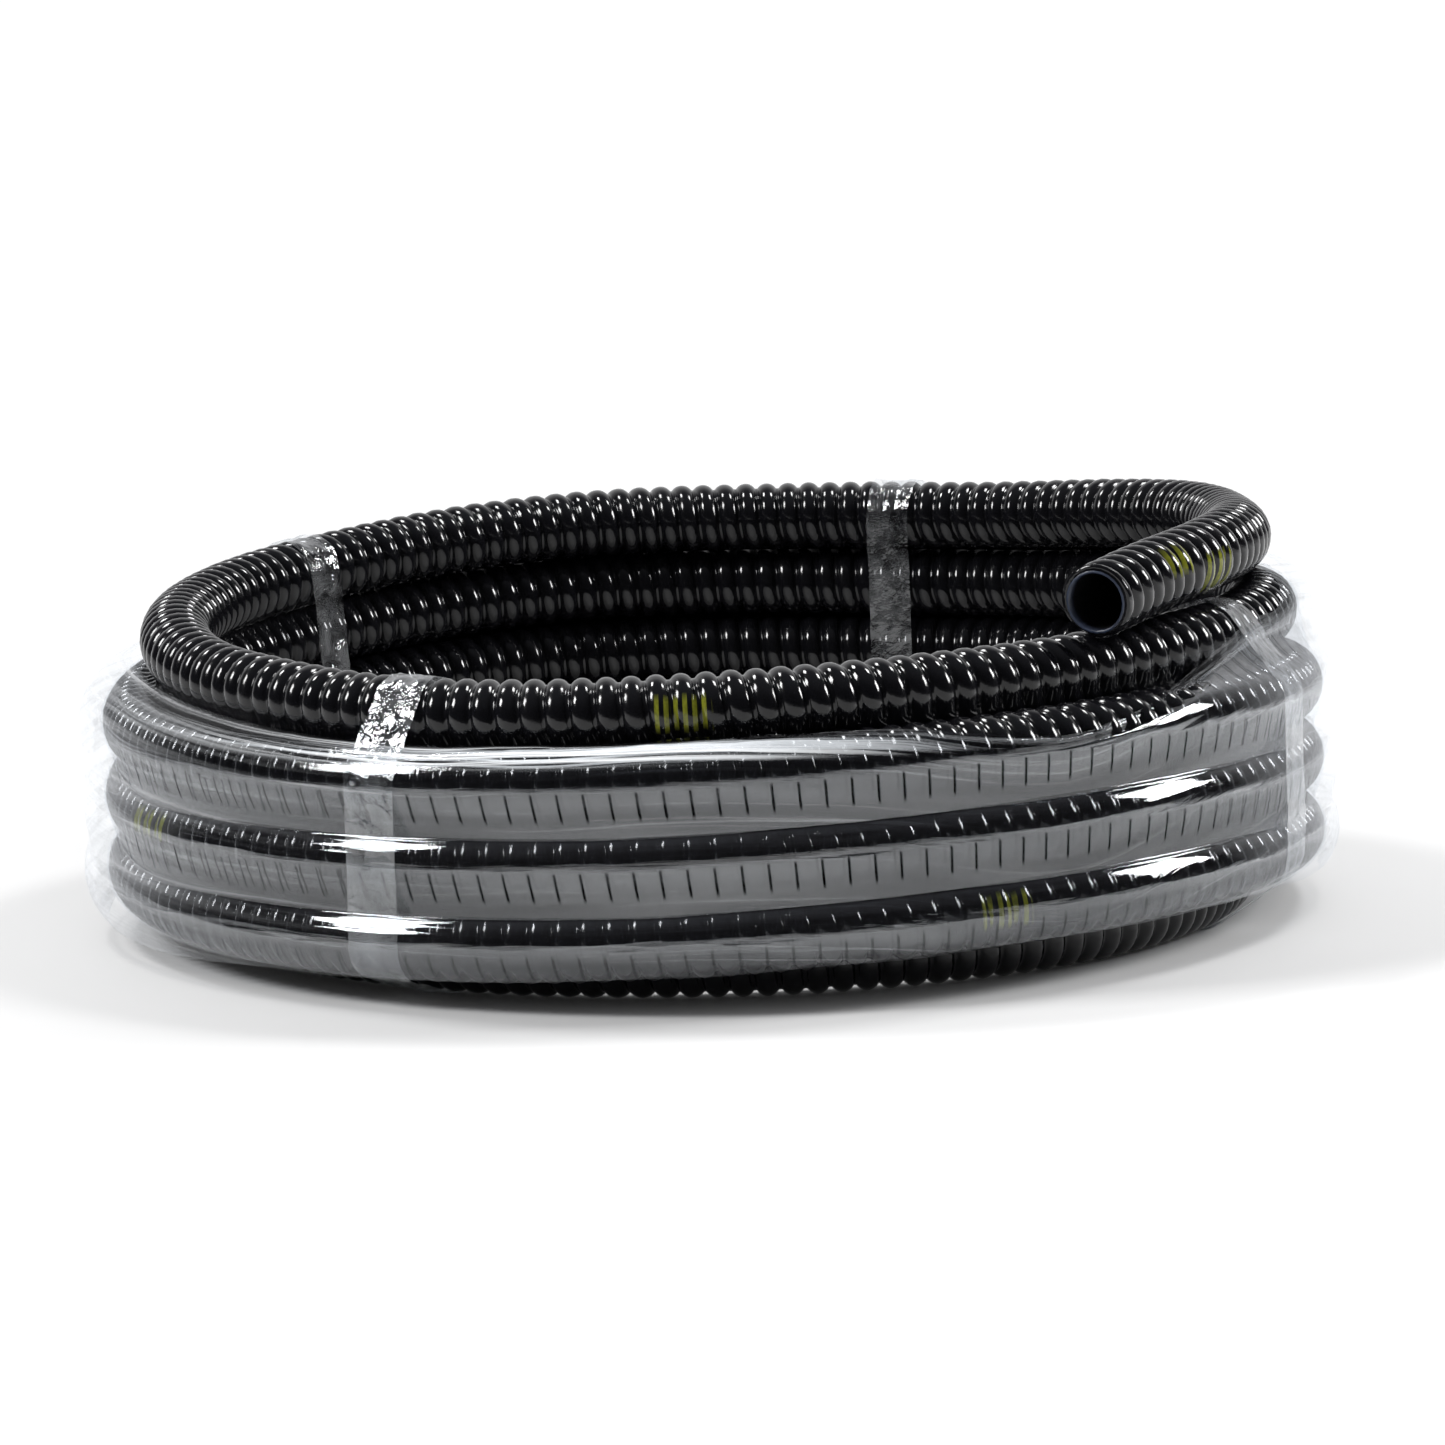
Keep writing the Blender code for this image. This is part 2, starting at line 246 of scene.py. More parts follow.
def spread(points, spacing):
    """The same line, with points at even distances."""
    along = distances(points)
    even = np.linspace(0, along[-1], int(round(along[-1] / spacing)) + 1)
    return np.stack([np.interp(even, along, points[:, axis]) for axis in range(3)], -1)


def hose_line():
    """The hose's whole centre line, from the free mouth to the hidden inner end.

    The free end's curve and the coil are joined, cut to the hose's length, and averaged over a
    short bell-shaped stretch so that no kink is left. The two ends stay where they are.
    """
    joint = coil_points(np.array([0.0, 0.03]))
    free_end = smooth_curve(np.concatenate([FREE_END_ROUTE, joint]), 24)[:-24]
    coil = coil_points(np.arange(0, 5.3, 1 / 1440))
    line = np.concatenate([free_end, coil])
    along = distances(line)
    line = spread(line[along <= HOSE_LENGTH], 0.001)
    reach = int(3 * SMOOTHING / 0.001)
    bell = np.exp(-0.5 * (np.arange(-reach, reach + 1) * 0.001 / SMOOTHING) ** 2)
    bell /= bell.sum()
    before = 2 * line[:1] - line[reach:0:-1]
    after = 2 * line[-1:] - line[-2:-reach - 2:-1]
    padded = np.concatenate([before, line, after])
    smooth = np.stack([np.convolve(padded[:, axis], bell, "valid") for axis in range(3)], -1)
    return spread(smooth, 0.002)


class Line:
    """The hose's centre line with its directions, looked up by distance along it."""

    def __init__(self, points):
        self.points = points
        self.along = distances(points)
        self.length = self.along[-1]
        forward = np.gradient(points, self.along, axis=0)
        self.forward = forward / np.linalg.norm(forward, axis=1, keepdims=True)
        angle = np.unwrap(np.arctan2(points[:, 1], points[:, 0]))
        self.turns = (angle - angle[0]) / (2 * np.pi) + angle[0] / (2 * np.pi)

    def lookup(self, values, distance):
        flat = np.asarray(distance).ravel()
        found = [np.interp(flat, self.along, values[:, axis]) for axis in range(values.shape[1])]
        return np.stack(found, -1).reshape(*np.shape(distance), values.shape[1])

    def surface(self, distance, angle, radius):
        """A point off the line: along it, then out by radius at an angle from straight up.

        The sideways direction is the forward one crossed with up, so that angle grows from the
        top towards the outside of the coil.
        """
        centre = self.lookup(self.points, distance)
        forward = self.lookup(self.forward, distance)
        forward /= np.linalg.norm(forward, axis=-1, keepdims=True)
        sideways = np.cross(forward, (0.0, 0.0, 1.0))
        sideways /= np.linalg.norm(sideways, axis=-1, keepdims=True)
        upward = np.cross(sideways, forward)
        angle = np.asarray(angle)[..., None]
        radius = np.asarray(radius)[..., None]
        return centre + (sideways * np.sin(angle) + upward * np.cos(angle)) * radius

    def distance_at(self, turns):
        """Distance along the line to where it has gone round the coil by this many turns."""
        return np.interp(turns, self.turns, self.along)


HOSE = Line(hose_line())
LAST_TURN = float(HOSE.turns[-1])


# --- Meshes from whole arrays ---

def add_mesh(name, points, faces, attributes=None, material=None):
    """Put points and triangles or quads into a smooth-shaded mesh object at the origin."""
    mesh = bpy.data.meshes.new(name)
    points = np.ascontiguousarray(points, dtype=np.float32).reshape(-1, 3)
    faces = np.ascontiguousarray(faces, dtype=np.int32)
    count, corners = faces.shape
    mesh.vertices.add(len(points))
    mesh.vertices.foreach_set("co", points.ravel())
    mesh.loops.add(count * corners)
    mesh.loops.foreach_set("vertex_index", faces.ravel())
    mesh.polygons.add(count)
    mesh.polygons.foreach_set("loop_start", np.arange(count, dtype=np.int32) * corners)
    mesh.polygons.foreach_set("use_smooth", np.ones(count, dtype=bool))
    mesh.update(calc_edges=True)
    for label, values in (attributes or {}).items():
        layer = mesh.attributes.new(label, "FLOAT", "POINT")
        layer.data.foreach_set("value", np.ascontiguousarray(values, dtype=np.float32).ravel())
    mesh.validate()
    body = bpy.data.objects.new(name, mesh)
    bpy.context.scene.collection.objects.link(body)
    if material:
        mesh.materials.append(material)
    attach(body, "root")
    return body


def grid_faces(rows, columns, wrap_rows=False, wrap_columns=False):
    """Quads between the neighbours of a grid whose points are numbered row by row."""
    row = np.arange(rows if wrap_rows else rows - 1)[:, None]
    column = np.arange(columns if wrap_columns else columns - 1)[None, :]
    next_row, next_column = (row + 1) % rows, (column + 1) % columns
    quads = [row * columns + column, row * columns + next_column,
             next_row * columns + next_column, next_row * columns + column]
    return np.stack(np.broadcast_arrays(*quads), -1).reshape(-1, 4)


def triangles(quads):
    """Each quad as two triangles, without any that have lost a side."""
    both = np.concatenate([quads[:, (0, 1, 2)], quads[:, (0, 2, 3)]])
    a, b, c = both.T
    return both[(a != b) & (b != c) & (c != a)]


def lattice_noise(u, v, cells_u, cells_v, seed):
    """Smooth noise from -1 to 1, eased between random values on a lattice that repeats along u."""
    values = np.random.default_rng(seed).uniform(-1, 1, (cells_u, cells_v + 2))
    x, y = np.asarray(u) * cells_u, np.clip(v, 0, 1) * cells_v
    left, low = np.floor(x).astype(int), np.floor(y).astype(int)
    across, up = smooth_step(x - left), smooth_step(y - low)
    pick = lambda i, j: values[i % cells_u, j]
    bottom = pick(left, low) * (1 - across) + pick(left + 1, low) * across
    top = pick(left, low + 1) * (1 - across) + pick(left + 1, low + 1) * across
    return bottom * (1 - up) + top * up


# --- Materials ---

class Nodes:
    """A short way to write the nodes of a material or a world."""

    def __init__(self, name, kind="Material"):
        made = bpy.data.worlds if kind == "World" else bpy.data.materials
        self.owner = made.new(name)
        self.owner.use_nodes = True
        self.tree = self.owner.node_tree
        self.tree.nodes.clear()
        self.output = self.add("ShaderNodeOutput" + kind)

    def add(self, kind, settings=None, **inputs):
        node = self.tree.nodes.new(kind)
        for name, value in (settings or {}).items():
            setattr(node, name, value)
        for name, value in inputs.items():
            self.set(node, name.replace("_", " "), value)
        return node

    def set(self, node, name, value):
        socket = node.inputs[name]
        if isinstance(value, bpy.types.NodeSocket):
            self.tree.links.new(value, socket)
        else:
            socket.default_value = value

    def math(self, operation, a, b=0.0, c=0.0, clamp=False):
        node = self.add("ShaderNodeMath", {"operation": operation, "use_clamp": clamp})
        for index, value in enumerate((a, b, c)):
            self.set(node, index, value)
        return node.outputs[0]

    def attribute(self, name):
        return self.add("ShaderNodeAttribute", {"attribute_name": name}).outputs["Fac"]

    def noise(self, vector, scale, detail=3.0, roughness=0.5):
        node = self.add("ShaderNodeTexNoise", Vector=vector, Scale=scale, Detail=detail,
                        Roughness=roughness)
        return node.outputs["Fac"]

    def placed(self, x, y, z):
        return self.add("ShaderNodeCombineXYZ", X=x, Y=y, Z=z).outputs[0]

    def middle_gap(self, value):
        """Distance of a value from a half."""
        return self.math("ABSOLUTE", self.math("SUBTRACT", value, 0.5))

    def mixed(self, factor, below, above):
        """One shader over another."""
        node = self.add("ShaderNodeMixShader")
        for index, value in enumerate((factor, below, above)):
            self.set(node, index, value)
        return node.outputs[0]

    def ramp(self, value, low, high, to_low=0.0, to_high=1.0):
        node = self.add("ShaderNodeMapRange", {"clamp": True})
        for name, number in (("Value", value), ("From Min", low), ("From Max", high),
                             ("To Min", to_low), ("To Max", to_high)):
            self.set(node, name, number)
        return node.outputs[0]

    def blend(self, factor, a, b):
        node = self.add("ShaderNodeMix", {"data_type": "RGBA"})
        self.set(node, 0, factor)
        self.set(node, 6, a)
        self.set(node, 7, b)
        return node.outputs[2]

    def object_place(self):
        return self.add("ShaderNodeTexCoord").outputs["Object"]

    def finish(self, shader):
        self.tree.links.new(shader, self.output.inputs["Surface"])
        return self.owner


def hose_plastic():
    """Glossy black plastic with faint scuffs, a fine grain, and dull yellow-green dashes."""
    sizes = hose_settings()
    nodes = Nodes("glossy_black_plastic")
    place = nodes.object_place()
    scuffs = nodes.noise(place, 38.0, 5.0, 0.65)
    grain = nodes.noise(place, 900.0, 2.0)
    bend = nodes.noise(place, 140.0, 2.0)
    height = nodes.math("ADD", nodes.math("MULTIPLY", grain, 0.25), bend)
    bump = nodes.add("ShaderNodeBump", Strength=0.10, Distance=0.0012, Height=height)
    along = nodes.attribute("along")
    dash = nodes.math("FRACT", nodes.math("MULTIPLY", along, 210.0))
    gaps = nodes.ramp(nodes.middle_gap(dash), 0.22, 0.27, 1.0, 0.0)
    worn = nodes.ramp(nodes.noise(place, 520.0, 3.0), 0.42, 0.58, 0.75, 1.0)
    printed = nodes.attribute("print_mark")
    ink = nodes.math("MULTIPLY", nodes.math("MULTIPLY", gaps, worn), printed, clamp=True)
    colour = nodes.blend(ink, tuple(sizes.hose_colour), tuple(sizes.mark_colour))
    shader = nodes.add("ShaderNodeBsdfPrincipled")
    nodes.set(shader, "Base Color", colour)
    nodes.set(shader, "Roughness", nodes.ramp(scuffs, 0.35, 0.75, sizes.gloss_roughness - 0.03,
                                              sizes.gloss_roughness + 0.08))
    nodes.set(shader, "Normal", bump.outputs[0])
    shader.inputs["IOR"].default_value = 1.46
    return nodes.finish(shader.outputs[0])


def cut_plastic():
    """The wall's plastic: satin on the sawn faces, with fine saw lines, and black in the bore."""
    sizes = hose_settings()
    nodes = Nodes("sawn_black_plastic")
    place = nodes.object_place()
    saw = nodes.add("ShaderNodeMapping", Vector=place, Scale=(300.0, 300.0, 2600.0)).outputs[0]
    lines = nodes.noise(saw, 1.0, 3.0)
    mottle = nodes.noise(place, 120.0, 3.0)
    bump = nodes.add("ShaderNodeBump", Strength=0.35, Distance=0.0004, Height=lines)
    face = nodes.attribute("sawn_face")
    lighter = tuple(c * 1.7 for c in sizes.cut_colour[:3]) + (1.0,)
    sawn = nodes.blend(nodes.ramp(mottle, 0.3, 0.7), tuple(sizes.cut_colour), lighter)
    colour = nodes.blend(face, (0.004, 0.004, 0.005, 1.0), sawn)
    shader = nodes.add("ShaderNodeBsdfPrincipled")
    nodes.set(shader, "Base Color", colour)
    nodes.set(shader, "Roughness", nodes.ramp(face, 0.0, 1.0, 0.45, 0.34))
    nodes.set(shader, "Normal", bump.outputs[0])
    return nodes.finish(shader.outputs[0])


def film_plastic(name, head_on, streak_seed):
    """Clear stretch film: a sharp reflection over see-through, broken by streaks round the coil.

    The share of reflection starts from its head-on value and grows with the cube of how
    glancing the view is. It wanders with long streaks, is lower over the top, and falls to
    almost nothing in thin lines along the valleys between the ribs.
    """
    wrap = wrap_settings()
    nodes = Nodes(name)
    round_coil = nodes.attribute("round_coil")
    down_section = nodes.attribute("down_section")
    streak_place = nodes.placed(nodes.math("MULTIPLY", round_coil, 3.0),
                                nodes.math("MULTIPLY", down_section, 230.0), streak_seed)
    streaks = nodes.noise(streak_place, 1.0, 4.0, 0.6)
    patch_place = nodes.placed(nodes.math("MULTIPLY", round_coil, 9.0),
                               nodes.math("MULTIPLY", down_section, 45.0), streak_seed + 3.0)
    patches = nodes.noise(patch_place, 1.0, 2.0)
    crumple = nodes.noise(nodes.object_place(), 60.0, 4.0, 0.6)
    loose = nodes.attribute("loose")
    crumpled = nodes.math("MULTIPLY", crumple, nodes.math("MULTIPLY_ADD", loose, 2.2, 0.10))
    height = nodes.math("ADD", nodes.math("MULTIPLY", streaks, 0.5), crumpled)
    bump = nodes.add("ShaderNodeBump", Strength=0.30, Distance=0.0012, Height=height).outputs[0]
    facing = nodes.add("ShaderNodeLayerWeight", Blend=0.5, Normal=bump).outputs["Facing"]
    weight = nodes.math("MULTIPLY_ADD", nodes.math("POWER", facing, 3.0), 0.26, head_on)
    patchy = nodes.ramp(patches, 0.40, 0.60, 0.80, 1.15)
    bright = nodes.ramp(streaks, 0.58, 0.72, 0.0, 0.35)
    phase = nodes.math("FRACT", nodes.math("ADD", nodes.attribute("rib_phase"), 0.45))
    line = nodes.ramp(nodes.middle_gap(phase), 0.035, 0.075, 1.0, 0.0)
    line = nodes.math("MULTIPLY", line, nodes.attribute("rib_contact"))
    lower = nodes.math("MULTIPLY_ADD", nodes.attribute("over_top"), -0.62, 1.0)
    thinned = nodes.math("MULTIPLY", patchy, lower)
    streak_share = nodes.math("MULTIPLY", bright, nodes.math("ADD", loose, 0.35))
    share = nodes.math("MULTIPLY_ADD", weight, thinned, streak_share)
    unlined = nodes.math("SUBTRACT", 1.0, nodes.math("MULTIPLY", line, 0.95))
    share = nodes.math("MULTIPLY", share, unlined, clamp=True)
    clear = nodes.add("ShaderNodeBsdfTransparent", Color=tuple(wrap.film_tint))
    shine = nodes.add("ShaderNodeBsdfGlossy", Color=(0.97, 0.98, 1.0, 1.0), Roughness=0.045,
                      Normal=bump)
    film = nodes.mixed(share, clear.outputs[0], shine.outputs[0])
    # A painted highlight: along the streaks, a white diffuse share stands in for glare on the
    # film's top edge at the front and, on the outer layer, at its sides.
    glare_streaks = nodes.ramp(streaks, 0.47, 0.58, 0.0, 1.0)
    white = nodes.add("ShaderNodeBsdfDiffuse", Color=(0.86, 0.88, 0.90, 1.0))
    glare_amount = nodes.math("MULTIPLY", glare_streaks, nodes.attribute("painted_glare"), clamp=True)
    return nodes.finish(nodes.mixed(glare_amount, film, white.outputs[0]))


def tape_plastic():
    """Clear packing tape: slightly milky, with a wrinkled sharp reflection."""
    wrap = wrap_settings()
    nodes = Nodes("clear_tape_plastic")
    place = nodes.object_place()
    wrinkles = nodes.noise(place, 55.0, 5.0, 0.62)
    creases = nodes.add("ShaderNodeTexVoronoi", {"feature": "DISTANCE_TO_EDGE"}, Vector=place,
                        Scale=48.0)
    height = nodes.math("ADD", wrinkles, nodes.math("MULTIPLY", creases.outputs[0], 0.6))
    bump = nodes.add("ShaderNodeBump", Strength=0.75, Distance=0.0026, Height=height).outputs[0]
    facing = nodes.add("ShaderNodeLayerWeight", Blend=0.5, Normal=bump).outputs["Facing"]
    weight = nodes.math("MULTIPLY_ADD", nodes.math("POWER", facing, 2.0), 0.35, 0.10)
    clear = nodes.add("ShaderNodeBsdfTransparent", Color=tuple(wrap.tape_tint))
    shine = nodes.add("ShaderNodeBsdfGlossy", Color=(0.98, 0.99, 1.0, 1.0), Roughness=0.07,
                      Normal=bump)
    milk = nodes.add("ShaderNodeBsdfDiffuse", Color=(0.80, 0.82, 0.84, 1.0))
    milkiness = nodes.ramp(wrinkles, 0.40, 0.66, 0.0, 0.12)
    veil = nodes.mixed(milkiness, clear.outputs[0], milk.outputs[0])
    return nodes.finish(nodes.mixed(weight, veil, shine.outputs[0]))


def floor_paint():
    """Matt pale studio floor with a barely seen mottle, glowing faintly far from the coil."""
    nodes = Nodes("studio_floor_paint")
    place = nodes.object_place()
    mottle = nodes.noise(place, 3.0, 4.0)
    far = nodes.add("ShaderNodeVectorMath", {"operation": "LENGTH"}, Vector=place).outputs["Value"]
    colour = tuple(stage_settings().floor_colour)
    darker = tuple(c * 0.985 for c in colour[:3]) + (1.0,)
    shader = nodes.add("ShaderNodeBsdfPrincipled")
    nodes.set(shader, "Base Color", nodes.blend(mottle, darker, colour))
    shader.inputs["Roughness"].default_value = 0.7
    shader.inputs["Specular IOR Level"].default_value = 0.2
    shader.inputs["Emission Color"].default_value = (1.0, 1.0, 1.0, 1.0)
    nodes.set(shader, "Emission Strength", nodes.ramp(far, 0.6, 4.0, 0.0, 0.76))
    return nodes.finish(shader.outputs[0])


# --- The hose ---

# Phases within one pitch at which the rib's outline is sampled, closest where it turns fastest.
RIB_PHASES = np.array([0.0, 0.035, 0.065, 0.10, 0.155, 0.225, 0.31, 0.405, 0.5,
                       0.595, 0.69, 0.775, 0.845, 0.90, 0.935, 0.965])
RIB_SIDES = 28


def rib_radius(phase):
    """Radius of the hose over one pitch, by phase from 0 to 1.

    The rib is centred at a half. It is a round dome: the part of a circle that stands over its
    foot, where the circle's radius is the sum of the squares of height and half-width over twice
    the height.
    """
    sizes = hose_settings()
    height, half = sizes.rib_height, sizes.rib_half_width
    circle = (height ** 2 + half ** 2) / (2 * height)
    off_crest = (phase - 0.5) * sizes.rib_pitch
    dome = np.sqrt(np.maximum(circle ** 2 - off_crest ** 2, 0.0)) - (circle - height)
    return sizes.valley_radius + np.maximum(dome, 0.0)


def pressed_radius(along, around):
    """How far the skin reaches where one loop is pressed against the next.

    Loops lie ribs against ribs. Within a narrow window round the direction of a neighbouring
    loop's centre, the skin is filled out to just past the flat halfway between the two centres.
    """
    turns = np.interp(along, HOSE.along, HOSE.turns)
    radius, height = section_centre(np.maximum(turns, 0.0))
    reach = np.zeros_like(along)
    for step in (-1.0, 1.0):
        other = turns + step
        there = (other >= 0.0) & (other <= LAST_TURN) & (turns >= 0.0)
        other_radius, other_height = section_centre(np.clip(other, 0.0, LAST_TURN))
        across, up = other_radius - radius, other_height - height
        off = np.abs((around - np.arctan2(across, up) + np.pi) % (2 * np.pi) - np.pi)
        half = np.hypot(across, up) / 2
        near = there * (half < 0.0255) * (1 - smooth_step((np.degrees(off) - 8.0) / 6.0))
        flat = (half + PRESS_OVERLAP) / np.cos(np.minimum(off, 0.5))
        reach = np.maximum(reach, near * np.minimum(flat, PRESS_LIMIT))
    return reach


def print_marks(along, around):
    """Where printed dashes lie: 1 inside short windows on the hose, fading at their edges.

    Each window has its middle and length along the hose, and its middle and half-width in
    radians round it.
    """
    marks = np.zeros_like(along)
    for centre, length, angle, half_width in (
        (0.075, 0.030, 1.05, 0.42), (0.120, 0.034, 1.75, 0.55),
        (HOSE.distance_at(0.742), 0.030, 1.45, 0.50),
        (HOSE.distance_at(2.572), 0.050, 1.35, 0.45),
        (HOSE.distance_at(3.822), 0.030, 1.45, 0.45),
        (HOSE.distance_at(1.300), 0.040, 1.40, 0.45),
        (HOSE.distance_at(3.180), 0.040, 1.40, 0.45),
    ):
        inside = smooth_step((length / 2 - np.abs(along - centre)) / 0.002)
        turn = np.abs((around - angle + np.pi) % (2 * np.pi) - np.pi)
        marks = np.maximum(marks, inside * smooth_step((half_width - turn) / 0.10))
    return marks


def ribbed_skin(name, start, end, material):
    """One closed length of ribbed skin between two distances along the hose.

    A point (i, j) of the grid is at angle i of a full turn, and at a distance of i's share of a
    pitch plus j steps through the rib's outline, so that the ribs wind right-handed. Distances
    are held between the two ends, which makes flat ends, and a plain lining inside the wall
    closes the skin.
    """
    pitch = hose_settings().rib_pitch
    sides, steps = RIB_SIDES, len(RIB_PHASES)
    first, last = math.floor(start / pitch) - 1, math.ceil(end / pitch) + 1
    j = np.arange((last - first) * steps)
    outline = (first + j // steps + RIB_PHASES[j % steps]) * pitch
    i = np.arange(sides)
    raw = i[:, None] / sides * pitch + outline[None, :]
    low = (raw <= start).sum(axis=1) - 1
    high = (raw < end).sum(axis=1)
    number = np.clip(j[None, :], low[:, None], high[:, None])
    along = np.clip(raw, start, end)
    angle = np.broadcast_to((2 * np.pi * i / sides + np.pi)[:, None], along.shape)
    phase = (along / pitch - i[:, None] / sides) % 1.0
    radius = rib_radius(phase)
    radius = np.maximum(radius, pressed_radius(along, angle))
    wobble = 0.00010 * np.sin(along * 41.0 + 2.0 * angle) + 0.00006 * np.sin(along * 173.0 - angle)
    points = HOSE.surface(along, angle, radius + wobble).reshape(-1, 3)
    index = i[:, None] * len(j) + number
    here, there = index, np.concatenate([index[1:], np.roll(index[:1], -steps, axis=1)])
    quads = np.stack([here[:, :-1], here[:, 1:], there[:, 1:], there[:, :-1]], -1)
    quads = quads[:, : len(j) - steps].reshape(-1, 4)
    lining_count = int((end - start) / 0.012) + 1
    lining_along = np.linspace(start, end, lining_count)[None, :] + np.zeros((sides, 1))
    lining_angle = np.broadcast_to(angle[:, :1], lining_along.shape)
    lining_radius = np.full(lining_along.shape, LINING_RADIUS)
    lining = HOSE.surface(lining_along, lining_angle, lining_radius).reshape(-1, 3)
    base = len(points)
    k = base + np.arange(sides)[:, None] * lining_count + np.arange(lining_count)[None, :]
    k_next = np.roll(k, -1, axis=0)
    inside = np.stack([k[:, :-1], k_next[:, :-1], k_next[:, 1:], k[:, 1:]], -1).reshape(-1, 4)
    rim_low = index[np.arange(sides), low]
    rim_high = index[np.arange(sides), np.minimum(high, len(j) - 1)]
    start_cap = np.stack([k[:, 0], rim_low, np.roll(rim_low, -1), k_next[:, 0]], -1)
    end_cap = np.stack([k[:, -1], k_next[:, -1], np.roll(rim_high, -1), rim_high], -1)
    faces = triangles(np.concatenate([quads, inside, start_cap, end_cap]))[:, ::-1]
    all_points = np.concatenate([points, lining])
    all_along = np.concatenate([along.ravel(), lining_along.ravel()])
    all_around = np.concatenate([angle.ravel(), lining_angle.ravel()])
    used, faces = np.unique(faces, return_inverse=True)
    faces = faces.reshape(-1, 3)
    marks = print_marks(all_along[used], all_around[used])
    attributes = {"along": all_along[used], "print_mark": marks}
    return add_mesh(name, all_points[used], faces, attributes, material)


def hose_wall(material):
    """The hollow wall along the whole hose, with an open bore and sawn ends.

    Two tubes round one line, the outer at the wall's radius and the inner at the bore's, joined
    by a flat ring at each end.
    """
    sizes = hose_settings()
    sides, rings = 24, 1500
    along = np.linspace(0, HOSE.length, rings)
    spacing = np.concatenate([along, along[::-1]])
    radius = np.concatenate([np.full(rings, sizes.wall_radius), np.full(rings, sizes.bore_radius)])
    radius = radius[:, None] + np.zeros((1, sides))
    angle = np.broadcast_to((2 * np.pi * np.arange(sides) / sides)[None, :], radius.shape)
    points = HOSE.surface(np.broadcast_to(spacing[:, None], radius.shape), angle, radius)
    faces = grid_faces(2 * rings, sides, wrap_rows=True, wrap_columns=True)
    sawn = np.zeros(2 * rings)
    sawn[[0, rings - 1, rings, -1]] = 1.0
    sawn = np.broadcast_to(sawn[:, None], radius.shape)
    return add_mesh("hose_wall", points, faces, {"sawn_face": sawn}, material)


# --- The stretch film ---

def film_limits(degrees):
    """Directions, in radians over level, between which the film covers the stack at an angle.

    The top edge dips beside the free end and under the slack top loop, and the bottom edge
    rises at the back.
    """
    beside_free_end = smooth_step((degrees - 270) / 35) * (1 - smooth_step((degrees - 344) / 16))
    under_top_loop = np.exp(-((degrees - 65) / 70) ** 2)
    top = 95 - 73 * beside_free_end - 25 * under_top_loop
    bottom = -60 + 58 * np.exp(-((degrees - 75) / 45) ** 2)
    return np.radians(bottom), np.radians(top)


